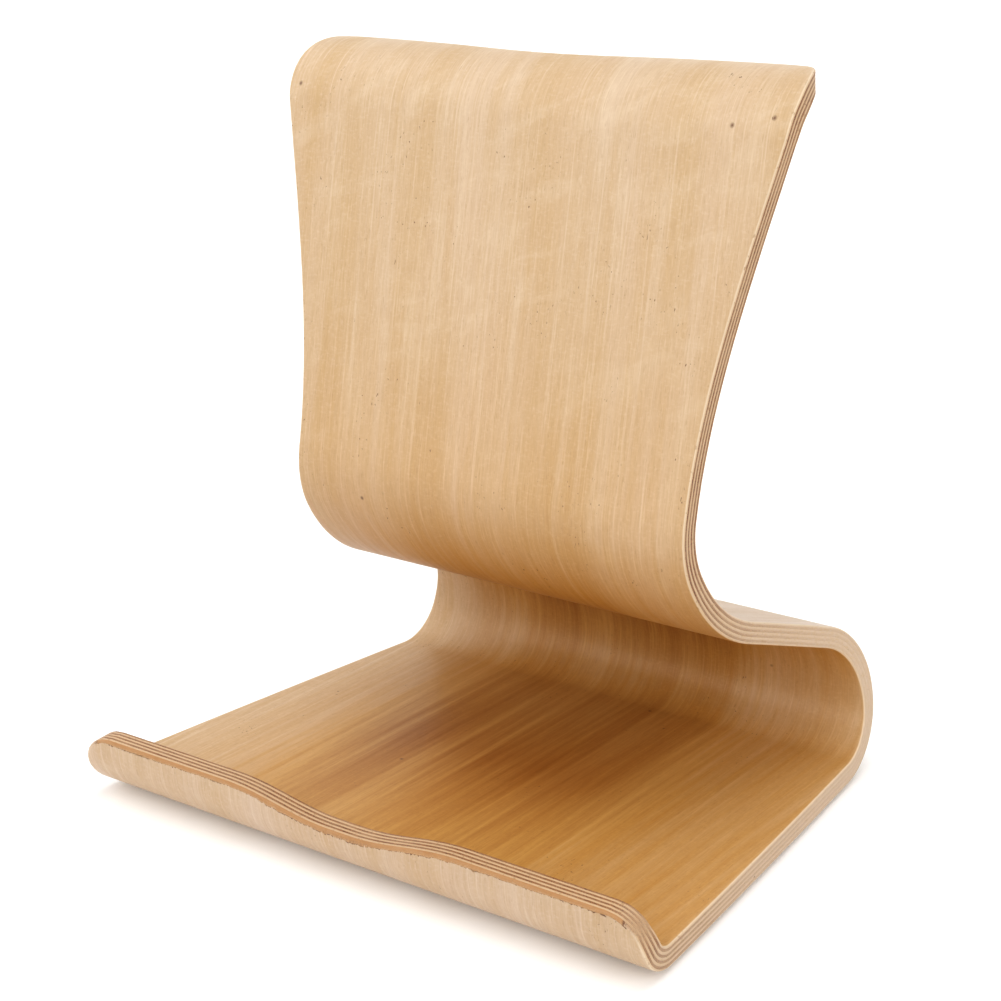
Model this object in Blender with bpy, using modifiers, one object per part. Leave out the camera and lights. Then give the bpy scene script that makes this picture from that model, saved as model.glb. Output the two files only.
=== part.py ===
"""Bent plywood stand for a tablet or phone, modelled veneer by veneer.

The stand is one ribbon of moulded plywood. Seen from the side it runs from a low front lip along a
flat base, round a tight rear bend, forward up a shelf, round a waist and up a leaning backrest, and
it ends in a small backward roll. Laid out flat it is wide at the lip, narrow at the waist and wide
again at the top. The front is -Y and +Z is up. The origin is on the surface the stand rests on,
under the middle of its box.
"""
import math
from collections import namedtuple

import bmesh
import bpy
import numpy as np

MM = 0.001

# ---- The sheet: an odd number of veneers, glued face to face
VENEER_COUNT = 9
VENEER_THICKNESS = 0.47 * MM
GLUE_LINE = 0.05 * MM

# ---- The ribbon from the lip's top to the backrest's top edge, along the middle of the sheet.
# A positive turn bends the sheet towards its face, which is the upper side of the base.
# half_width is the sheet's half width where the stretch ends.
Stretch = namedtuple("Stretch", "name length turn half_width")


def straight(name, length, half_width):
    return Stretch(name, length * MM, 0.0, half_width * MM)


def bend(name, radius, turn, half_width):
    return Stretch(name, radius * MM * math.radians(abs(turn)), math.radians(turn), half_width * MM)


LIP_HALF_WIDTH = 68.9 * MM
LIP_ANGLE = math.radians(86.0)
RIBBON = (
    straight("lip", 3.3, 68.8),
    bend("lip_bend", 8.7, 86.0, 67.8),
    straight("base", 85.3, 59.8),
    bend("rear_bend_lower", 12.3, 78.6, 58.0),
    bend("rear_bend_upper", 16.6, 83.6, 53.4),
    straight("shelf", 27.9, 49.4),
    bend("waist_lower", 35.8, -41.4, 47.8),
    bend("waist_upper", 18.0, -41.0, 47.3),
    straight("backrest", 71.1, 58.2),
    bend("top_roll", 12.3, -77.5, 62.1),
    straight("top_edge", 1.9, 63.7),
)
BEND_STEP = math.radians(8.0)
STRAIGHT_STEP = 12.0 * MM

# ---- The outline's corners, the notch in the lip and the hollow in the top edge
LIP_CORNER = 8.3 * MM
TOP_CORNER = 12.3 * MM
CORNER_STEPS = 6
Dip = namedtuple("Dip", "depth flat_half reach")
LIP_NOTCH = Dip(3.0 * MM, 2.7 * MM, 28.3 * MM)
TOP_HOLLOW = Dip(3.5 * MM, 0.0, 49.6 * MM)
DIP_STEPS = 10

# ---- Anti-slip pads under the base
PAD_RADIUS = 5.0 * MM
PAD_GAP = 0.05 * MM
FLOOR_TO_BASE = 1.0 * MM
PAD_SIDES = 32
PAD_EDGE = 0.2 * MM
PAD_INSET = 9.0 * MM
PAD_FROM_BASE_END = 8.0 * MM

# ---- Tolerances: a heading that counts as level, and a distance that counts as on a cut
LEVEL = 1e-6
ON_THE_CUT = 1e-7

PITCH = VENEER_THICKNESS + GLUE_LINE
SHEET_THICKNESS = VENEER_COUNT * VENEER_THICKNESS + (VENEER_COUNT - 1) * GLUE_LINE


def walk_ribbon():
    """The stations along the middle of the sheet: arc length, y, z and heading at each."""
    table = [(0.0, 0.0, 0.0, -LIP_ANGLE)]
    for stretch in RIBBON:
        if stretch.turn:
            count = math.ceil(abs(stretch.turn) / BEND_STEP)
        else:
            count = math.ceil(stretch.length / STRAIGHT_STEP)
        arc, turn = stretch.length / count, stretch.turn / count
        chord = arc * math.sin(turn / 2) / (turn / 2) if turn else arc
        for _ in range(count):
            s, y, z, heading = table[-1]
            middle = heading + turn / 2
            y, z = y + chord * math.cos(middle), z + chord * math.sin(middle)
            table.append((s + arc, y, z, heading + turn))
    s, y, z, heading = np.array(table).T
    base = (s > RIBBON[0].length + RIBBON[1].length / 2) & (np.abs(heading) < LEVEL)
    z = z - z[base][0] + FLOOR_TO_BASE + SHEET_THICKNESS / 2
    spread = [y + side * np.sin(heading) * SHEET_THICKNESS / 2 for side in (1, -1)]
    return s, y - (np.min(spread) + np.max(spread)) / 2, z, heading


STATIONS = walk_ribbon()
RIBBON_LENGTH = STATIONS[0][-1]


def sheet_point(x, s, offset):
    """A point of the bent sheet: x across it, s along it, offset from its middle towards the face."""
    along, y, z, heading = STATIONS
    return (
        x,
        np.interp(s, along, y - np.sin(heading) * offset),
        np.interp(s, along, z + np.cos(heading) * offset),
    )


def smooth_half_width(s):
    """The half width along the ribbon, on one smooth curve through the widths that RIBBON gives."""
    ends = np.cumsum([0.0] + [stretch.length for stretch in RIBBON])
    widths = np.array([LIP_HALF_WIDTH] + [stretch.half_width for stretch in RIBBON])
    slopes = np.gradient(widths, ends)
    k = min(np.searchsorted(ends, s, side="right") - 1, len(RIBBON) - 1)
    span = ends[k + 1] - ends[k]
    u = (s - ends[k]) / span
    return (
        (2 * u**3 - 3 * u**2 + 1) * widths[k]
        + (u**3 - 2 * u**2 + u) * span * slopes[k]
        + (3 * u**2 - 2 * u**3) * widths[k + 1]
        + (u**3 - u**2) * span * slopes[k + 1]
    )


def corner_cut(distance, radius):
    """How far a round corner of that radius pulls the side in, at that distance from the end."""
    inside = max(radius - distance, 0.0)
    return radius - math.sqrt(radius**2 - inside**2)


def half_width(s):
    cut = corner_cut(s, LIP_CORNER) + corner_cut(RIBBON_LENGTH - s, TOP_CORNER)
    return smooth_half_width(s) - cut


def side_stations():
    """Arc lengths for the outline's sides: close together round the corners, then the stations."""
    angles = np.linspace(0.0, math.pi / 2, CORNER_STEPS + 1)
    lip = LIP_CORNER * (1 - np.cos(angles))
    top = RIBBON_LENGTH - TOP_CORNER * (1 - np.cos(angles))
    middle = [s for s in STATIONS[0] if lip[-1] < s < top[-1]]
    return [*lip, *middle, *top[::-1]]


def end_line(reach, dip):
    """Points (x, depth) across an end of the sheet, from -reach to reach, dipping in the middle."""
    slope = np.linspace(dip.flat_half, dip.reach, DIP_STEPS + 1)
    fall = (1 + np.cos(math.pi * (slope - dip.flat_half) / (dip.reach - dip.flat_half))) / 2
    right = [(x, dip.depth * f) for x, f in zip(slope, fall)] + [(reach, 0.0)]
    left = [(-x, depth) for x, depth in reversed(right) if x > 0]
    return left + right


def flat_outline():
    """The sheet's outline laid out flat, as (x, s) going anticlockwise from the lip's left corner."""
    sides = side_stations()
    lip = end_line(half_width(0.0), LIP_NOTCH)
    top_line = end_line(half_width(RIBBON_LENGTH), TOP_HOLLOW)
    top = [(x, RIBBON_LENGTH - depth) for x, depth in top_line]
    right = [(half_width(s), s) for s in sides[1:-1]]
    left = [(-x, s) for x, s in reversed(right)]
    return lip + right + top[::-1] + left


def principled(name, colour, roughness):
    material = bpy.data.materials.new(name)
    material.use_nodes = True
    shader = material.node_tree.nodes["Principled BSDF"]
    shader.inputs["Base Color"].default_value = (*colour, 1.0)
    shader.inputs["Roughness"].default_value = roughness
    shader.inputs["Metallic"].default_value = 0.0
    return material


def bent_veneer(name, layer, outline, material, collection):
    """One veneer: the flat outline cut at the stations, bent to its own layer and made solid."""
    sheet = bmesh.new()
    sheet.faces.new([sheet.verts.new((x, s, 0.0)) for x, s in outline])
    for s in STATIONS[0][1:-1]:
        geometry = sheet.verts[:] + sheet.edges[:] + sheet.faces[:]
        bmesh.ops.bisect_plane(
            sheet, geom=geometry, dist=ON_THE_CUT, plane_co=(0, s, 0), plane_no=(0, 1, 0)
        )
    offset = (layer - (VENEER_COUNT - 1) / 2) * PITCH
    for vertex in sheet.verts:
        vertex.co = sheet_point(vertex.co.x, vertex.co.y, offset)
    mesh = bpy.data.meshes.new(name)
    sheet.to_mesh(mesh)
    sheet.free()
    mesh.materials.append(material)
    veneer = bpy.data.objects.new(name, mesh)
    collection.objects.link(veneer)
    solidify = veneer.modifiers.new("veneer thickness", "SOLIDIFY")
    solidify.thickness = VENEER_THICKNESS
    solidify.offset = 0.0
    solidify.use_even_offset = True
    return veneer


def foot_pad(name, x, y, material, collection):
    """A thin round self-adhesive pad under the base."""
    thickness = FLOOR_TO_BASE - PAD_GAP
    bpy.ops.mesh.primitive_cylinder_add(
        vertices=PAD_SIDES, radius=PAD_RADIUS, depth=thickness, location=(x, y, thickness / 2)
    )
    pad = bpy.context.active_object
    pad.name = pad.data.name = name
    pad.data.materials.append(material)
    softened = pad.modifiers.new("soft edge", "BEVEL")
    softened.width = PAD_EDGE
    softened.segments = 1
    for owner in pad.users_collection:
        owner.objects.unlink(pad)
    collection.objects.link(pad)
    return pad


def veneer_name(layer):
    if layer == 0:
        return "back_veneer"
    if layer == VENEER_COUNT - 1:
        return "face_veneer"
    return f"core_veneer_{layer}"


def main():
    for leftover in list(bpy.data.objects):
        bpy.data.objects.remove(leftover)
    collection = bpy.data.collections.new("tablet_stand")
    bpy.context.scene.collection.children.link(collection)

    long_grain = principled("birch_long_grain", (0.67, 0.50, 0.31), 0.45)
    cross_grain = principled("birch_cross_grain", (0.36, 0.20, 0.10), 0.6)
    rubber = principled("pad_rubber", (0.03, 0.03, 0.03), 0.8)

    outline = flat_outline()
    for layer in range(VENEER_COUNT):
        grain = cross_grain if layer % 2 else long_grain
        bent_veneer(veneer_name(layer), layer, outline, grain, collection)

    base_start = RIBBON[0].length + RIBBON[1].length
    base_end = base_start + RIBBON[2].length
    pad_rows = (base_start + PAD_FROM_BASE_END, base_end - PAD_FROM_BASE_END)
    places = [(side, s) for s in pad_rows for side in (-1, 1)]
    for number, (side, s) in enumerate(places, start=1):
        x, y, _ = sheet_point(side * (half_width(s) - PAD_INSET), s, 0.0)
        foot_pad(f"foot_pad_{number}", x, y, rubber, collection)


main()
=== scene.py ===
"""Looks of the bent plywood stand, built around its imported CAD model.

Each CAD veneer is replaced by a finer one of the same place and size: smooth bends, eased edges, a
slightly uneven sawn edge and, on the back veneer, the torn arris along the top of the lip. Every
point of a veneer also stores where it lies on the sheet laid out flat, so the grain follows the
ribbon round its bends: long grain on the face, the back and every other veneer between them, and
cross grain on the rest.
"""
import math
from collections import namedtuple

import bmesh
import bpy
import numpy as np
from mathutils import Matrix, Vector, noise


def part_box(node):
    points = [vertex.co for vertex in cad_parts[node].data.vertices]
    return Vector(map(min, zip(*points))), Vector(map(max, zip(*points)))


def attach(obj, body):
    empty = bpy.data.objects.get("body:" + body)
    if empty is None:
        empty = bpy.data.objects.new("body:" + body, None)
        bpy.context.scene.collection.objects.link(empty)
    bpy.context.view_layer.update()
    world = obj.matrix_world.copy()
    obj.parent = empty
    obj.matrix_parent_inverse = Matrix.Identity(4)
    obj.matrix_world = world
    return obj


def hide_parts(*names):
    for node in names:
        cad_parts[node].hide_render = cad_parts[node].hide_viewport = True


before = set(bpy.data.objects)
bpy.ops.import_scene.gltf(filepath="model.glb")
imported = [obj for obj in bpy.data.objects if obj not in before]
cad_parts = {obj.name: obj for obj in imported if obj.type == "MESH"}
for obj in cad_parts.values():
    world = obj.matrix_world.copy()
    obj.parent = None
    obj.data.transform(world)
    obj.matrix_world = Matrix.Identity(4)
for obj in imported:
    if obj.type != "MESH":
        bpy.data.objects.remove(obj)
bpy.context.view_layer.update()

MM = 0.001

# ---- The sheet, as in the CAD model
VENEER_COUNT = 9
TOP_LAYER = VENEER_COUNT - 1
VENEER_THICKNESS = 0.47 * MM
PITCH = 0.52 * MM
SHEET_THICKNESS = TOP_LAYER * PITCH + VENEER_THICKNESS
FLOOR_TO_BASE = 1.0 * MM

# ---- The ribbon from the lip's top to the backrest's top edge, as in the CAD model
Stretch = namedtuple("Stretch", "length turn half_width")


def straight(length, half_width):
    return Stretch(length * MM, 0.0, half_width * MM)


def bend(radius, turn, half_width):
    return Stretch(radius * MM * math.radians(abs(turn)), math.radians(turn), half_width * MM)


LIP_HALF_WIDTH = 68.9 * MM
LIP_ANGLE = math.radians(86.0)
RIBBON = {
    "lip": straight(3.3, 68.8),
    "lip_bend": bend(8.7, 86.0, 67.8),
    "base": straight(85.3, 59.8),
    "rear_bend_lower": bend(12.3, 78.6, 58.0),
    "rear_bend_upper": bend(16.6, 83.6, 53.4),
    "shelf": straight(27.9, 49.4),
    "waist_lower": bend(35.8, -41.4, 47.8),
    "waist_upper": bend(18.0, -41.0, 47.3),
    "backrest": straight(71.1, 58.2),
    "top_roll": bend(12.3, -77.5, 62.1),
    "top_edge": straight(1.9, 63.7),
}
LIP_CORNER = 8.3 * MM
TOP_CORNER = 12.3 * MM
Dip = namedtuple("Dip", "depth flat_half reach")
LIP_NOTCH = Dip(3.0 * MM, 2.7 * MM, 28.3 * MM)
TOP_HOLLOW = Dip(3.5 * MM, 0.0, 49.6 * MM)

# ---- How finely the visible veneers are cut up
BEND_STEP = math.radians(3.0)
STRAIGHT_STEP = 4.0 * MM
CORNER_STEPS = 12
SHORTEST_ROW = 0.1 * MM
FACE_COLUMNS = 150
BACK_COLUMNS = 236
INNER_COLUMNS = 56
OUTER_RINGS = 8
INNER_RINGS = 4
DIP_FADE = 14.0 * MM
ON_THE_BORDER = 1e-9
CHUNK = 4000
SHARP_EDGE = math.radians(50)

# ---- The edge of the sheet
FACE_ARRIS = 0.45 * MM
BACK_ARRIS = 0.50 * MM
LIP_ARRIS = 0.68 * MM
LIP_FACE_ARRIS = 0.20 * MM
LIP_TOP_END, LIP_BEND_END = 4.5 * MM, 13.5 * MM
GLUE_GROOVE = 0.035 * MM
SAW_UNEVEN = 0.05 * MM
SAW_WAVE, SAW_RIPPLE = 9.0 * MM, 1.7 * MM
TEAR_OUT = 0.45 * MM
TEAR_DEPTH = 0.4 * MM
TEAR_REACH = 0.45 * MM
TEAR_PATCH, LONG_SPLINTER, SHORT_SPLINTER = 16 * MM, 2.6 * MM, 1.1 * MM
TORN_FULL, TORN_END = 2.7 * MM, 7.2 * MM
RIM_REACH = 4.0 * MM

# Between the layers' places in the wood, so that no two veneers have the same grain
LAYER_SHIFT = 10 * MM


def walk_ribbon():
    """Arc length, y, z and heading at fine stations along the middle of the sheet."""
    table = [(0.0, 0.0, 0.0, -LIP_ANGLE)]
    for stretch in RIBBON.values():
        if stretch.turn:
            count = math.ceil(abs(stretch.turn) / BEND_STEP)
        else:
            count = math.ceil(stretch.length / STRAIGHT_STEP)
        arc, turn = stretch.length / count, stretch.turn / count
        chord = arc * math.sin(turn / 2) / (turn / 2) if turn else arc
        for _ in range(count):
            s, y, z, heading = table[-1]
            middle = heading + turn / 2
            y, z = y + chord * math.cos(middle), z + chord * math.sin(middle)
            table.append((s + arc, y, z, heading + turn))
    s, y, z, heading = np.array(table).T
    base_start = RIBBON["lip"].length + RIBBON["lip_bend"].length
    z = z - np.interp(base_start, s, z) + FLOOR_TO_BASE + SHEET_THICKNESS / 2
    spread = [y + side * np.sin(heading) * SHEET_THICKNESS / 2 for side in (1, -1)]
    return s, y - (np.min(spread) + np.max(spread)) / 2, z, heading


STATIONS = walk_ribbon()
RIBBON_LENGTH = STATIONS[0][-1]
ENDS = np.cumsum([0.0] + [stretch.length for stretch in RIBBON.values()])
STARTS = dict(zip(RIBBON, ENDS))


def bent(x, s, offset):
    """Points of the bent sheet from flat ones: offset is measured from its middle towards the face."""
    along, y, z, heading = STATIONS
    s = np.clip(s, 0.0, RIBBON_LENGTH)
    turn = np.interp(s, along, heading)
    y, z = np.interp(s, along, y), np.interp(s, along, z)
    return np.stack([x, y - np.sin(turn) * offset, z + np.cos(turn) * offset], axis=-1)


def smooth_half_width(s):
    """The half width along the ribbon, on one smooth curve through the widths that RIBBON gives."""
    widths = np.array([LIP_HALF_WIDTH] + [stretch.half_width for stretch in RIBBON.values()])
    slopes = np.gradient(widths, ENDS)
    k = np.clip(np.searchsorted(ENDS, s, side="right") - 1, 0, len(RIBBON) - 1)
    span = ENDS[k + 1] - ENDS[k]
    u = (s - ENDS[k]) / span
    return (
        (2 * u**3 - 3 * u**2 + 1) * widths[k]
        + (u**3 - 2 * u**2 + u) * span * slopes[k]
        + (3 * u**2 - 2 * u**3) * widths[k + 1]
        + (u**3 - u**2) * span * slopes[k + 1]
    )


def corner_cut(distance, radius):
    """How far a round corner of that radius pulls the side in, at that distance from the end."""
    inside = np.maximum(radius - distance, 0.0)
    return radius - np.sqrt(radius**2 - inside**2)


def half_width(s):
    cut = corner_cut(s, LIP_CORNER) + corner_cut(RIBBON_LENGTH - s, TOP_CORNER)
    return smooth_half_width(s) - cut


def fade(value, full, none):
    """1 up to full, 0 from none on, and an even slope between them."""
    return np.clip((none - value) / (none - full), 0.0, 1.0)


def dip_depth(x, dip):
    """The depth of a raised cosine dip at x."""
    u = np.clip((np.abs(x) - dip.flat_half) / (dip.reach - dip.flat_half), 0.0, 1.0)
    return dip.depth * (1 + np.cos(math.pi * u)) / 2


def row_stations():
    """Arc lengths of the grid's rows: close together round the corners, then the stations."""
    # The first step round a corner would be so short that its faces would be slivers.
    angles = np.delete(np.linspace(0.0, math.pi / 2, CORNER_STEPS + 1), 1)
    lip = LIP_CORNER * (1 - np.cos(angles))
    top = RIBBON_LENGTH - TOP_CORNER * (1 - np.cos(angles))
    along = STATIONS[0]
    middle = along[(along > lip[-1] + SHORTEST_ROW) & (along < top[-1] - SHORTEST_ROW)]
    return np.concatenate([lip, middle, top[::-1]])


def flat_grid(columns):
    """The sheet laid out flat as a grid of x and s, one row to a station, following the end lines."""
    rows = row_stations()[:, None]
    across = np.linspace(-1.0, 1.0, columns + 1)[None, :]
    x = across * half_width(rows)
    lip = dip_depth(x, LIP_NOTCH) * fade(rows, 0.0, DIP_FADE)
    top = dip_depth(x, TOP_HOLLOW) * fade(RIBBON_LENGTH - rows, 0.0, DIP_FADE)
    return x, rows + lip - top


def border_of(count_rows, columns):
    """Grid indices round the border, anticlockwise from the lip's left corner."""
    width = columns + 1
    lip = list(range(columns))
    right = [r * width + columns for r in range(count_rows - 1)]
    top = [(count_rows - 1) * width + i for i in range(columns, 0, -1)]
    left = [r * width for r in range(count_rows - 1, 0, -1)]
    return np.array(lip + right + top + left)


def border_normals(ring):
    """Outward normals in the flat sheet, and the arc length round the border."""
    step = np.roll(ring, -1, axis=0) - ring
    length = np.linalg.norm(step, axis=1, keepdims=True)
    forward = step / length
    tangent = forward + np.roll(forward, 1, axis=0)
    tangent /= np.linalg.norm(tangent, axis=1, keepdims=True)
    outward = np.stack([tangent[:, 1], -tangent[:, 0]], axis=1)
    return outward, np.concatenate([[0.0], np.cumsum(length[:-1, 0])])


def nearest_on_border(points, ring):
    """For each flat point, the nearest border point's number and its distance."""
    number = np.empty(len(points), int)
    distance = np.empty(len(points))
    for start in range(0, len(points), CHUNK):
        part = slice(start, start + CHUNK)
        gap = np.linalg.norm(points[part, None, :] - ring[None, :, :], axis=2)
        number[part] = gap.argmin(axis=1)
        distance[part] = gap.min(axis=1)
    return number, distance


def wobble(arc, size, seed):
    """Seeded noise from -1 to 1 along the border, with features of about that size."""
    return np.array([noise.noise((a / size, seed * 7.3, seed * 3.1)) for a in arc])


def eased(depth, radius):
    """How far a round arris pulls the edge in, at that depth under the outer face."""
    inside = np.clip(radius - depth, 0.0, None)
    return radius - np.sqrt(np.maximum(radius**2 - inside**2, 0.0))


def squareness(depth, radius):
    """How squarely the edge stands to the sheet at that depth: 0 on the face, 1 below the arris."""
    return np.sqrt(np.clip(1 - np.clip(1 - depth / radius, 0, 1) ** 2, 0, 1))


def lip_share(ring):
    """1 along the top of the lip, 0 from the end of its bend on."""
    return fade(ring[:, 1], LIP_TOP_END, LIP_BEND_END)


def torn_share(x, s):
    """1 along the top of the lip, 0 from its corners on."""
    corner = LIP_HALF_WIDTH - 4 * MM
    return fade(s, TORN_FULL, TORN_END) * fade(np.abs(x), corner - 1.2 * MM, corner)


def tearing(ring, arc):
    """How badly the saw tore the back veneer, from 0 to 1: in patches along the top of the lip."""
    patches = np.clip(0.55 + 0.9 * wobble(arc, TEAR_PATCH, 3), 0.1, 1.0)
    splinters = wobble(arc, SHORT_SPLINTER, 1) + 0.6 * wobble(arc, LONG_SPLINTER, 2) + 0.35
    corner = LIP_HALF_WIDTH - LIP_CORNER
    off_corners = fade(np.abs(ring[:, 0]), corner - 4 * MM, corner)
    return lip_share(ring) * patches * np.clip(splinters, 0.0, 1.0) * off_corners


def edge_profile(layer, ring, arc):
    """One veneer's edge as rings from its face side to its back side: inset, offset, squareness."""
    middle = (layer - TOP_LAYER / 2) * PITCH
    half = SHEET_THICKNESS / 2
    upper = half if layer == TOP_LAYER else middle + PITCH / 2
    lower = -half if layer == 0 else middle - PITCH / 2
    lip = lip_share(ring)
    back_radius = BACK_ARRIS + lip * (LIP_ARRIS - BACK_ARRIS)
    face_radius = FACE_ARRIS + lip * (LIP_FACE_ARRIS - FACE_ARRIS)
    wave, ripple = wobble(arc, SAW_WAVE, 11 + layer), wobble(arc, SAW_RIPPLE, 31 + layer)
    uneven = SAW_UNEVEN * (0.5 + 0.5 * wave + 0.3 * ripple)
    rings = []
    for step in np.linspace(0.0, 1.0, OUTER_RINGS if layer in (0, TOP_LAYER) else INNER_RINGS):
        offset = upper + (lower - upper) * step
        under_face, over_back = half - offset, half + offset
        square = squareness(over_back, back_radius) * squareness(under_face, face_radius)
        inset = eased(under_face, face_radius) + eased(over_back, back_radius)
        inset = inset + uneven * np.minimum(square * 2, 1)
        if layer == 0:
            inset = inset + TEAR_OUT * tearing(ring, arc) * fade(over_back, 0.0, TEAR_DEPTH) ** 0.5
        if 0 < layer and step == 1.0 or layer < TOP_LAYER and step == 0.0:
            inset = inset + GLUE_GROOVE
        rings.append((inset, offset, square))
    return rings


# How dark the sawn end grain has gone, and how amber and shaded the face veneer is in its middle and
# towards
# its sides: partly the wood's own amber tone and partly painted shade, deepest over the middle of the
# base, in the upper rear bend and under the shelf, while the top roll is left pale as a painted
# highlight from above. Each mark is the stretch, the millimetres into it and the value there
SOAK = (
    ("lip", 0, 1.0), ("base", 0, 0.6), ("base", 30, 0.3), ("rear_bend_lower", 0, 0.08),
    ("rear_bend_upper", 0, 0.06), ("shelf", 0, 0.14), ("waist_lower", 0, 0.4),
    ("waist_upper", 0, 1.0), ("top_edge", 0, 1.0),
)
AMBER_AND_SHADE_MIDDLE = (
    ("lip", 0, 0.1), ("base", 0, 1.1), ("base", 25, 1.5), ("base", 45, 1.9),
    ("rear_bend_lower", 0, 1.25), ("rear_bend_lower", 9, 0.9), ("rear_bend_upper", 6, 1.2),
    ("rear_bend_upper", 20, 2.0), ("waist_lower", 0, 1.5), ("waist_lower", 20, 0.75),
    ("waist_upper", 0, 0.5), ("backrest", 0, 0.35), ("backrest", 30, 0.1), ("top_roll", 0, 0.0),
)
AMBER_AND_SHADE_SIDES = (
    ("lip", 0, 0.1), ("base", 0, 0.8), ("rear_bend_lower", 0, 0.85), ("rear_bend_lower", 9, 0.5),
    ("rear_bend_upper", 6, 0.55), ("rear_bend_upper", 20, 1.0), ("shelf", 0, 1.0),
    ("waist_lower", 0, 0.9), ("waist_lower", 20, 0.6), ("waist_upper", 0, 0.45),
    ("backrest", 0, 0.3), ("backrest", 30, 0.1), ("top_roll", 0, 0.0),
)
# Across the sheet: the middle, where the amber tone and the painted shade are deepest, and a strip
# along the left side that is painted paler, as where light falls from the left. That strip keeps only
# this share of the amber and shade
AMBER_AND_SHADE_CENTRE, AMBER_AND_SHADE_CORE, AMBER_AND_SHADE_REACH = -4 * MM, 16 * MM, 52 * MM
LIT_LEFT_OUTER, LIT_LEFT_INNER = -64 * MM, -34 * MM
LIT_LEFT_AMBER_AND_SHADE = 0.2


def along_ribbon(s, marks):
    """A value that changes evenly between such marks."""
    places = [STARTS[stretch] + into * MM for stretch, into, _ in marks]
    return np.interp(s, places, [value for _, _, value in marks])


def amber_and_shade_at(x, s):
    """How amber and shaded the face veneer is, from 0 to 2, partly its own tone and partly painted
    shade: its left side is painted paler, as lit from the left.
    """
    side = 1 - fade(np.abs(x - AMBER_AND_SHADE_CENTRE), AMBER_AND_SHADE_CORE, AMBER_AND_SHADE_REACH)
    side = side * side * (3 - 2 * side)
    sapwood = fade(x, LIT_LEFT_OUTER, LIT_LEFT_INNER)
    amber_and_shade = along_ribbon(s, AMBER_AND_SHADE_MIDDLE) * (1 - side) + along_ribbon(s, AMBER_AND_SHADE_SIDES) * side
    return amber_and_shade * (1 - (1 - LIT_LEFT_AMBER_AND_SHADE) * sapwood)


def store(mesh, name, values):
    """Stores a number or a vector for every point of the mesh, for the materials."""
    kind, key = ("FLOAT", "value") if values.ndim == 1 else ("FLOAT_VECTOR", "vector")
    attribute = mesh.attributes.new(name, kind, "POINT")
    attribute.data.foreach_set(key, values.astype(np.float32).ravel())


def fine_veneer(layer, node, material):
    """One veneer as a closed, finely bent solid that stands for its CAD node."""
    columns = {0: BACK_COLUMNS, TOP_LAYER: FACE_COLUMNS}.get(layer, INNER_COLUMNS)
    x, s = flat_grid(columns)
    rows, width = x.shape
    points = np.stack([x.ravel(), s.ravel()], axis=1)
    border = border_of(rows, columns)
    ring = points[border]
    outward, arc = border_normals(ring)
    profile = edge_profile(layer, ring, arc)
    nearest, rim = nearest_on_border(points, ring)
    pull = fade(rim, 0.0, RIM_REACH)[:, None] * outward[nearest]

    # The flat places (x, s, offset), squareness and distance from the rim of all points: those of
    # the face side, then ring after ring down the edge, then those of the back side.
    flat, square, rims, starts = [], [], [], [0]
    for number, (inset, offset, squareness_here) in enumerate(profile):
        if number in (0, len(profile) - 1):
            inner = points - pull * inset[nearest][:, None]
            square.append(np.where(rim < ON_THE_BORDER, squareness_here[nearest], 0.0))
            rims.append(rim)
        else:
            inner = ring - outward * inset[:, None]
            square.append(squareness_here)
            rims.append(np.zeros(len(ring)))
        flat.append(np.column_stack([inner, np.full(len(inner), offset)]))
        starts.append(starts[-1] + len(inner))
    flat, square, rims = np.concatenate(flat), np.concatenate(square), np.concatenate(rims)

    faces = []
    low = starts[-2]
    for r in range(rows - 1):
        for c in range(columns):
            a, b = r * width + c, (r + 1) * width + c
            faces.append((a, a + 1, b + 1, b))
            faces.append((low + a, low + b, low + b + 1, low + a + 1))
    loops = [border] + [start + np.arange(len(ring)) for start in starts[1:-2]] + [low + border]
    for above, below in zip(loops, loops[1:]):
        corners = (above, below, np.roll(below, -1), np.roll(above, -1))
        faces.extend(np.stack(corners, axis=1).tolist())

    mesh = bpy.data.meshes.new(f"{node}_bent")
    mesh.from_pydata(bent(*flat.T).tolist(), [], faces)
    mesh.polygons.foreach_set("use_smooth", [True] * len(mesh.polygons))
    mesh.set_sharp_from_angle(angle=SHARP_EDGE)

    # End grain shows where the edge crosses the fibres, which run across the ribbon in odd layers.
    numbers = np.concatenate([nearest] + [np.arange(len(ring))] * (len(profile) - 2) + [nearest])
    across_fibre = np.abs(outward[numbers][:, 0 if layer % 2 else 1])
    torn = torn_share(flat[:, 0], flat[:, 1]) if layer == 0 else np.zeros(len(flat))
    store(mesh, "flat", flat + np.array([0.0, 0.0, layer * LAYER_SHIFT]))
    store(mesh, "edge", square**2)
    store(mesh, "end_grain", np.minimum(2 * square, 1.0) * across_fibre**2)
    store(mesh, "rim", rims)
    store(mesh, "soak", along_ribbon(flat[:, 1], SOAK))
    # The face veneer's amber tone and painted shade, with its painted paler left side
    store(mesh, "amber_and_shade", amber_and_shade_at(flat[:, 0], flat[:, 1]))
    store(mesh, "torn", torn * fade(rims, 0.0, TEAR_REACH))

    veneer = bpy.data.objects.new(f"{node}_bent", mesh)
    bpy.context.scene.collection.objects.link(veneer)
    mesh.materials.append(material)
    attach(veneer, "root")
    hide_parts(node)


# ---- Materials
PALE = (0.63, 0.485, 0.345)
WARM = (0.55, 0.38, 0.205)
PINK = (0.62, 0.455, 0.31)
PORE = (0.34, 0.19, 0.085)
FLECK = (0.74, 0.61, 0.46)
SAWN = (0.60, 0.47, 0.37)
ARRIS = (0.76, 0.63, 0.47)
SAWN_SOAKED = (0.60, 0.42, 0.265)
END_LIGHT = (0.34, 0.155, 0.062)
END_DARK = (0.12, 0.042, 0.014)
TORN = (0.46, 0.25, 0.10)
SPLINTER = (0.13, 0.05, 0.018)
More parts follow.
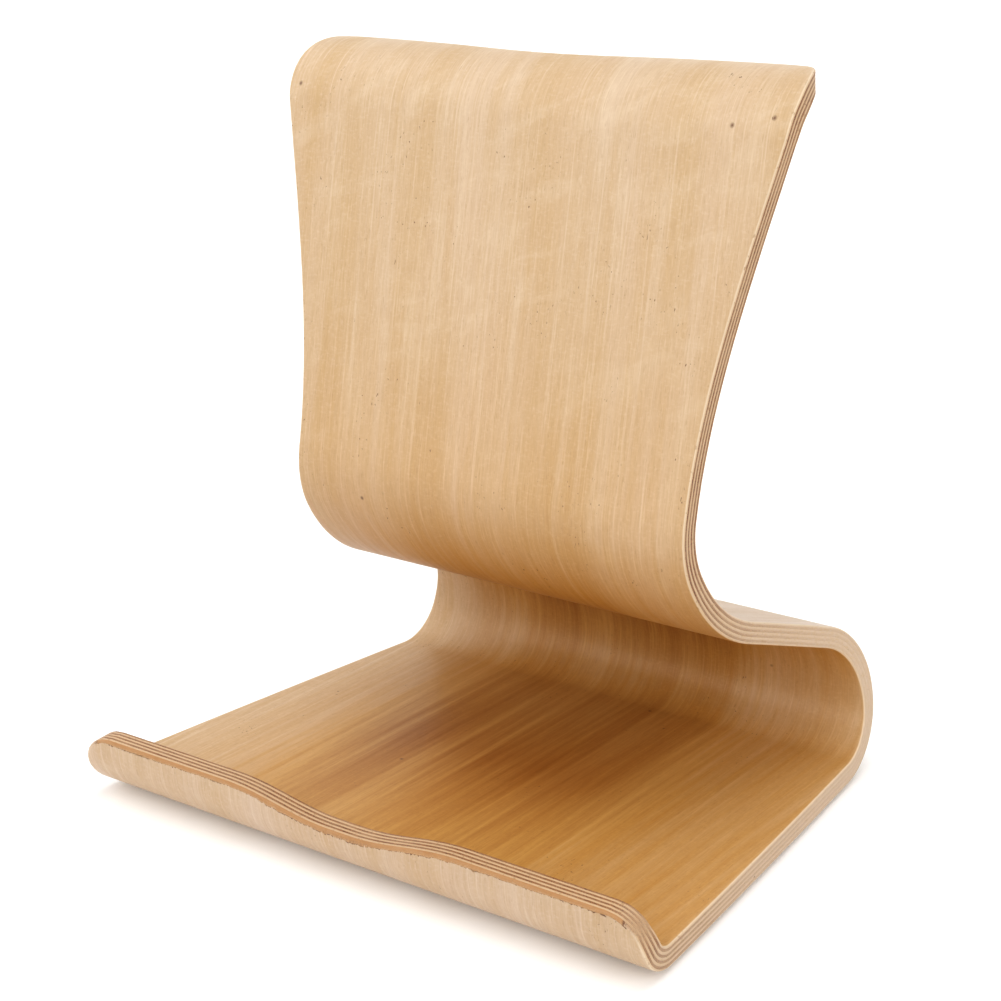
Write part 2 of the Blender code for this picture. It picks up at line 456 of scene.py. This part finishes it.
# The amber tone, which also darkens the face as painted shade, and the deeper painted shade, partly
# heartwood tone, where the share goes over 1
AMBER_AND_SHADE_TINT = (0.905, 0.69, 0.335)
DEEP_SHADE_AND_HEART_TINT = (0.62, 0.475, 0.35)
BACK_TINT = (0.97, 0.98, 1.05)
RUBBER = (0.018, 0.018, 0.019)
DUST = (0.06, 0.055, 0.05)

# The noises of the wood's figure: the size of their features in millimetres across the fibre, along
# it and through the sheet
Figure = namedtuple("Figure", "across along through detail distortion slant", defaults=(0.0, 0.0))
FIGURES = {
    "bands": Figure(11, 170, 3, 3, distortion=0.3),
    "blush": Figure(17, 90, 5, 2),
    "streaks": Figure(1.5, 45, 0.3, 4),
    "fibres": Figure(0.30, 4.5, 0.12, 2),
    "flame": Figure(13, 5, 3, 3, distortion=0.8, slant=math.radians(28)),
    "silk": Figure(0.9, 0.5, 0.3, 2),
    "dashes": Figure(0.36, 3.2, 0.3, 1),
    "pores": Figure(0.22, 1.5, 0.2, 1),
    "threads": Figure(0.45, 34, 0.3, 2),
}
# Those of the sawn and torn edge, which lie the same way in every veneer
EDGE_FIGURES = {
    "mottle": Figure(1.1, 1.1, 0.35, 3),
    "vessels": Figure(0.24, 0.24, 0.2, 1),
    "blotches": Figure(5.0, 5.0, 0.5, 3),
    "nicks": Figure(0.8, 1.4, 1, 2),
    "splinters": Figure(0.5, 0.9, 0.5, 2),
    "patches": Figure(11, 11, 4, 1),
}
# A few dark mineral specks, one in every sixth cell or so
SPECK_CELL, SPECK_SIZE = 26 * MM, 1.1 * MM
SPECK_RARITY = (0.66, 0.68)
NICK_REACH = 0.9 * MM
ACROSS_RIBBON, ALONG_RIBBON = 0, 1
BUMP_STRENGTH = 0.3


class Nodes:
    """Short ways to add the nodes that the materials share."""

    def __init__(self, name):
        self.material = bpy.data.materials.new(name)
        self.material.use_nodes = True
        self.tree = self.material.node_tree
        self.shader = self.tree.nodes["Principled BSDF"]

    def link(self, source, target):
        self.tree.links.new(source, target)

    def add(self, kind, **settings):
        node = self.tree.nodes.new(kind)
        for key, value in settings.items():
            setattr(node, key, value)
        return node

    def attribute(self, name, output="Fac"):
        return self.add("ShaderNodeAttribute", attribute_name=name).outputs[output]

    def noise(self, place, size, detail, distortion=0.0, slant=0.0):
        """Noise with features of about that size in metres along each axis of the place."""
        mapping = self.add("ShaderNodeMapping", vector_type="TEXTURE")
        mapping.inputs["Scale"].default_value = size
        mapping.inputs["Rotation"].default_value = (0.0, 0.0, slant)
        texture = self.add("ShaderNodeTexNoise")
        texture.inputs["Scale"].default_value = 1.0
        texture.inputs["Detail"].default_value = detail
        texture.inputs["Distortion"].default_value = distortion
        self.link(place, mapping.inputs["Vector"])
        self.link(mapping.outputs["Vector"], texture.inputs["Vector"])
        return texture.outputs["Fac"]

    def figure(self, place, figure, fibre_along):
        """Noise that follows the fibre, which runs along that axis of the flat sheet."""
        size = [figure.across, figure.along, figure.through]
        if fibre_along == ACROSS_RIBBON:
            size[:2] = reversed(size[:2])
        metres = [length * MM for length in size]
        return self.noise(place, metres, figure.detail, figure.distortion, figure.slant)

    def specks(self, place):
        cells = self.add("ShaderNodeTexVoronoi", voronoi_dimensions="2D")
        cells.inputs["Scale"].default_value = 1.0 / SPECK_CELL
        self.link(place, cells.inputs["Vector"])
        inside = self.between(cells.outputs["Distance"], 0.5 * SPECK_SIZE / SPECK_CELL, 0.0)
        return self.times(inside, self.between(cells.outputs["Color"], *SPECK_RARITY))

    def set_or_link(self, socket, value):
        """Gives a socket its number, its colour or the output of another node."""
        if isinstance(value, (int, float)):
            socket.default_value = value
        elif isinstance(value, tuple):
            socket.default_value = (*value, 1.0)
        else:
            self.link(value, socket)

    def math(self, operation, first, second):
        node = self.add("ShaderNodeMath", operation=operation)
        self.set_or_link(node.inputs[0], first)
        self.set_or_link(node.inputs[1], second)
        return node.outputs[0]

    def plus(self, first, second):
        return self.math("ADD", first, second)

    def times(self, first, second):
        return self.math("MULTIPLY", first, second)

    def between(self, value, low, high, to_low=0.0, to_high=1.0):
        """The value's place between low and high, clamped."""
        node = self.add("ShaderNodeMapRange", clamp=True)
        self.link(value, node.inputs["Value"])
        limits = {"From Min": low, "From Max": high, "To Min": to_low, "To Max": to_high}
        for key, number in limits.items():
            node.inputs[key].default_value = number
        return node.outputs["Result"]

    def mix(self, share, first, second, blend="MIX"):
        node = self.add("ShaderNodeMix", data_type="RGBA", blend_type=blend)
        # The colour mix's own sockets: its factor, A and B, and its result.
        for number, value in {0: share, 6: first, 7: second}.items():
            self.set_or_link(node.inputs[number], value)
        return node.outputs[2]

    def tinted(self, colour, tint):
        return self.mix(1.0, colour, tint, "MULTIPLY")

    def bump(self, height, distance):
        node = self.add("ShaderNodeBump")
        node.inputs["Strength"].default_value = BUMP_STRENGTH
        node.inputs["Distance"].default_value = distance
        self.link(height, node.inputs["Height"])
        self.link(node.outputs["Normal"], self.shader.inputs["Normal"])


def veneer_face(n, figure, tint, amber_and_shade):
    """Broad bands, long streaks, a slanting flame, silky flecks and pores."""
    bands, streaks = figure["bands"], figure["streaks"]
    colour = n.mix(n.between(bands, 0.3, 0.7), PALE, WARM)
    colour = n.mix(n.between(figure["blush"], 0.45, 0.65, 0.0, 0.35), colour, PINK)
    colour = n.mix(n.between(streaks, 0.45, 0.75, 0.0, 0.4), colour, WARM)
    colour = n.mix(n.between(streaks, 0.42, 0.25, 0.0, 0.3), colour, FLECK)
    off_amber_and_shade = n.between(n.attribute("amber_and_shade"), 0.0, 0.5, 1.0, 0.1)
    flaming = n.times(n.between(figure["flame"], 0.5, 0.75, 0.0, 0.28), off_amber_and_shade)
    colour = n.mix(flaming, colour, FLECK)
    colour = n.mix(n.between(figure["threads"], 0.56, 0.7, 0.0, 0.3), colour, FLECK)
    colour = n.mix(n.between(figure["silk"], 0.5, 0.75, 0.0, 0.22), colour, FLECK)
    colour = n.mix(n.between(figure["fibres"], 0.32, 0.6, 0.15, 0.0), colour, PORE)
    colour = n.mix(n.between(figure["dashes"], 0.64, 0.76, 0.0, 0.2), colour, FLECK)
    colour = n.mix(n.between(figure["pores"], 0.27, 0.36, 0.2, 0.0), colour, PORE)
    colour = n.tinted(colour, tint)
    # Amber tone and painted shade: deepest over the base's middle and under the shelf, and painted
    # paler along the left side
    if amber_and_shade:
        share = n.times(n.attribute("amber_and_shade"), n.between(bands, 0.25, 0.75, 0.9, 1.05))
        share = n.times(share, n.between(streaks, 0.3, 0.7, 0.86, 1.14))
        colour = n.mix(n.between(share, 0.0, 1.0), colour, n.tinted(colour, AMBER_AND_SHADE_TINT))
        colour = n.mix(n.between(share, 1.0, 2.0), colour, n.tinted(colour, DEEP_SHADE_AND_HEART_TINT))
    return colour


def sawn_edge(n, figure, edge, colour):
    """A pale arris, rougher wood, end grain where the saw crossed the fibres, and a nicked rim."""
    soak = n.attribute("soak")
    colour = n.mix(n.between(edge, 0.0, 0.25, 0.0, 0.75), colour, ARRIS)
    sawn = n.mix(soak, SAWN, SAWN_SOAKED)
    sawn = n.mix(n.between(figure["mottle"], 0.3, 0.7, 0.0, 0.6), sawn, WARM)
    colour = n.mix(n.between(edge, 0.35, 0.95, 0.0, 0.85), colour, sawn)
    taken = n.times(n.attribute("end_grain"), soak)
    taken = n.times(taken, n.between(figure["blotches"], 0.3, 0.68, 1.0, 0.65))
    end_colour = n.mix(n.between(figure["vessels"], 0.36, 0.6), END_DARK, END_LIGHT)
    colour = n.mix(taken, colour, end_colour)
    nicks = n.times(n.between(n.attribute("rim"), 0.0, NICK_REACH, 1.0, 0.0), soak)
    nicks = n.times(nicks, n.between(figure["nicks"], 0.62, 0.72))
    return n.mix(n.times(nicks, 0.5), colour, PORE)


def torn_lip(n, figure, colour):
    """Along the lip the saw tore the back veneer: a tawny band with dark splinters at its rim."""
    vessels, splinters, patches = figure["vessels"], figure["splinters"], figure["patches"]
    ragged = n.plus(n.attribute("torn"), n.between(splinters, 0.25, 0.75, -0.5, 0.3))
    ragged = n.plus(ragged, n.between(patches, 0.3, 0.7, -0.15, 0.1))
    tawny = n.times(n.between(ragged, 0.35, 0.5), n.between(vessels, 0.35, 0.65, 0.95, 0.55))
    colour = n.mix(tawny, colour, TORN)
    rim_line = n.times(n.between(ragged, 0.28, 0.42), n.between(ragged, 0.85, 0.55))
    rim_line = n.times(rim_line, n.between(splinters, 0.44, 0.54, 0.05, 1.0))
    rim_line = n.times(rim_line, n.between(patches, 0.35, 0.6, 0.35, 0.9))
    return n.mix(rim_line, colour, SPLINTER)


def birch(name, fibre_along, tint=(1.0, 1.0, 1.0), amber_and_shade=False):
    """Lacquered birch veneer, whose grain runs along that axis of the flat sheet."""
    n = Nodes(name)
    place = n.attribute("flat", "Vector")
    figure = {key: n.figure(place, made, fibre_along) for key, made in FIGURES.items()}
    for key, made in EDGE_FIGURES.items():
        figure[key] = n.figure(place, made, ALONG_RIBBON)
    edge = n.attribute("edge")

    colour = veneer_face(n, figure, tint, amber_and_shade)
    colour = n.mix(n.specks(place), colour, SPLINTER)
    colour = sawn_edge(n, figure, edge, colour)
    colour = torn_lip(n, figure, colour)
    n.link(colour, n.shader.inputs["Base Color"])

    gloss = n.between(figure["streaks"], 0.3, 0.7, 0.40, 0.50)
    n.link(n.plus(gloss, n.times(edge, 0.2)), n.shader.inputs["Roughness"])
    relief = n.plus(n.times(figure["fibres"], 0.6), n.times(figure["pores"], 0.5))
    relief = n.plus(relief, n.times(figure["silk"], 0.3))
    relief = n.plus(relief, n.times(n.times(figure["vessels"], edge), 2.0))
    n.bump(relief, 0.03 * MM)
    n.shader.inputs["Coat Weight"].default_value = 0.25
    n.shader.inputs["Coat Roughness"].default_value = 0.3
    return n.material


def rubber():
    """Matt black rubber with a fine moulded grain."""
    n = Nodes("foot_rubber")
    place = n.add("ShaderNodeTexCoord").outputs["Object"]
    grain = n.noise(place, (0.25 * MM,) * 3, detail=3)
    dust = n.noise(place, (2.5 * MM,) * 3, detail=3)
    colour = n.mix(n.between(dust, 0.45, 0.75, 0.0, 0.5), RUBBER, DUST)
    n.link(colour, n.shader.inputs["Base Color"])
    n.link(n.between(grain, 0.3, 0.7, 0.72, 0.88), n.shader.inputs["Roughness"])
    n.bump(grain, 0.05 * MM)
    return n.material


PAD_DISH, PAD_RIM, PAD_EDGE = 0.12 * MM, 0.55 * MM, 0.22 * MM
PAD_ROUNDING = (math.radians(30), math.radians(60))
PAD_SIDES = 72
PAD_SHARP_EDGE = math.radians(40)
MERGED = 1e-6


def foot(node, material):
    """A round pad with soft edges and a shallow dish underneath, standing for its CAD node."""
    low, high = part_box(node)
    centre, radius, height = (low + high) / 2, (high.x - low.x) / 2, high.z - low.z
    inner = radius - PAD_EDGE
    round_edge = [(math.cos(a) * PAD_EDGE, math.sin(a) * PAD_EDGE) for a in PAD_ROUNDING]
    profile = [
        (0.0, PAD_DISH),
        (radius - 2.2 * PAD_RIM, PAD_DISH),
        (radius - 1.5 * PAD_RIM, 0.0),
        (inner, 0.0),
        *[(inner + out, PAD_EDGE - up) for out, up in reversed(round_edge)],
        (radius, PAD_EDGE),
        (radius, height - PAD_EDGE),
        *[(inner + out, height - PAD_EDGE + up) for out, up in round_edge],
        (inner, height),
        (0.0, height),
    ]
    turned = bmesh.new()
    points = [turned.verts.new((r, 0.0, z)) for r, z in profile]
    chain = [turned.edges.new(pair) for pair in zip(points, points[1:])]
    bmesh.ops.spin(
        turned, geom=points + chain, cent=(0, 0, 0), axis=(0, 0, 1), angle=2 * math.pi,
        steps=PAD_SIDES,
    )
    bmesh.ops.remove_doubles(turned, verts=turned.verts[:], dist=MERGED)
    bmesh.ops.recalc_face_normals(turned, faces=turned.faces[:])
    mesh = bpy.data.meshes.new(f"{node}_turned")
    turned.to_mesh(mesh)
    turned.free()
    mesh.polygons.foreach_set("use_smooth", [True] * len(mesh.polygons))
    mesh.set_sharp_from_angle(angle=PAD_SHARP_EDGE)
    mesh.materials.append(material)
    pad = bpy.data.objects.new(f"{node}_turned", mesh)
    pad.location = (centre.x, centre.y, low.z)
    bpy.context.scene.collection.objects.link(pad)
    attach(pad, "root")
    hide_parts(node)


# ---- Camera: its place in metres, and how far it looks down and round to the left in radians
CAMERA_PLACE = (0.2298, -0.32208, 0.18908)
CAMERA_DOWN, CAMERA_LEFT = 0.3080, 0.6225
FOCAL_LENGTH, SENSOR_WIDTH = 73.69, 36.0
NEAREST, FARTHEST = 0.01, 100.0


def camera():
    data = bpy.data.cameras.new("camera")
    data.lens, data.sensor_width = FOCAL_LENGTH, SENSOR_WIDTH
    data.clip_start, data.clip_end = NEAREST, FARTHEST
    shot = bpy.data.objects.new("camera", data)
    shot.location = CAMERA_PLACE
    shot.rotation_euler = (math.pi / 2 - CAMERA_DOWN, 0.0, CAMERA_LEFT)
    bpy.context.scene.collection.objects.link(shot)
    bpy.context.scene.camera = shot


# ---- Floor and light
WHITE = (1.0, 1.0, 1.0, 1.0)
FLOOR_SIZE = 16.0
FLOOR_COLOUR = (0.92, 0.92, 0.92, 1.0)
FLOOR_GLOW = 0.1
Soft = namedtuple("Soft", "azimuth elevation strength")
SOFTBOXES = {
    "front_low": Soft(0, 15, 0.24),
    "front_high": Soft(0, 45, 0.42),
    "left_low": Soft(-45, 15, 0.24),
    "left_high": Soft(-45, 45, 0.18),
    "right_low": Soft(45, 15, 0.24),
    "right_high": Soft(45, 45, 0.18),
    "left": Soft(-90, 30, 0.50),
    "right": Soft(90, 30, 0.63),
    "top": Soft(0, 88, 0.63),
    "back": Soft(180, 45, 0.42),
}
SOFTNESS = math.radians(45)
WORLD_FILL, WORLD_SEEN = 0.16, 0.69


def floor():
    bpy.ops.mesh.primitive_plane_add(size=FLOOR_SIZE)
    plane = bpy.context.active_object
    plane.name = "floor"
    n = Nodes("floor_white")
    n.shader.inputs["Base Color"].default_value = FLOOR_COLOUR
    n.shader.inputs["Roughness"].default_value = 0.9
    n.shader.inputs["Specular IOR Level"].default_value = 0.0
    n.shader.inputs["Emission Color"].default_value = WHITE
    n.shader.inputs["Emission Strength"].default_value = FLOOR_GLOW
    plane.data.materials.append(n.material)


def softbox(name, soft):
    """A broad, even light from far away. Azimuth 0 is the front and 90 the right."""
    data = bpy.data.lights.new(name, "SUN")
    data.energy, data.angle = soft.strength, SOFTNESS
    lamp = bpy.data.objects.new(name, data)
    around, up = math.radians(soft.azimuth), math.radians(soft.elevation)
    out = math.cos(up)
    lamp.location = Vector((math.sin(around) * out, -math.cos(around) * out, math.sin(up)))
    lamp.rotation_euler = (-lamp.location).to_track_quat("-Z", "Y").to_euler()
    bpy.context.scene.collection.objects.link(lamp)


def studio():
    """A white room that fills the shadows more gently than gloss and the camera see it."""
    world = bpy.data.worlds.new("studio")
    world.use_nodes = True
    tree = world.node_tree
    seen = tree.nodes["Background"]
    fill = tree.nodes.new("ShaderNodeBackground")
    for background, strength in ((seen, WORLD_SEEN), (fill, WORLD_FILL)):
        background.inputs["Color"].default_value = WHITE
        background.inputs["Strength"].default_value = strength
    path = tree.nodes.new("ShaderNodeLightPath")
    chosen = tree.nodes.new("ShaderNodeMixShader")
    tree.links.new(path.outputs["Is Diffuse Ray"], chosen.inputs[0])
    tree.links.new(seen.outputs[0], chosen.inputs[1])
    tree.links.new(fill.outputs[0], chosen.inputs[2])
    tree.links.new(chosen.outputs[0], tree.nodes["World Output"].inputs["Surface"])
    bpy.context.scene.world = world
    for name, soft in SOFTBOXES.items():
        softbox(name, soft)


def main():
    face = birch("birch_face", ALONG_RIBBON, amber_and_shade=True)
    back = birch("birch_back", ALONG_RIBBON, tint=BACK_TINT)
    cross_grain = birch("birch_cross_grain", ACROSS_RIBBON)
    core = [f"core_veneer_{layer}" for layer in range(1, TOP_LAYER)]
    for layer, node in enumerate(["back_veneer", *core, "face_veneer"]):
        if layer % 2:
            fine_veneer(layer, node, cross_grain)
        else:
            fine_veneer(layer, node, face if layer == TOP_LAYER else back)
    black = rubber()
    for number in range(1, 5):
        foot(f"foot_pad_{number}", black)
    camera()
    floor()
    studio()
    bpy.context.scene.view_settings.view_transform = "Standard"
    bpy.context.scene.view_settings.look = "High Contrast"


main()
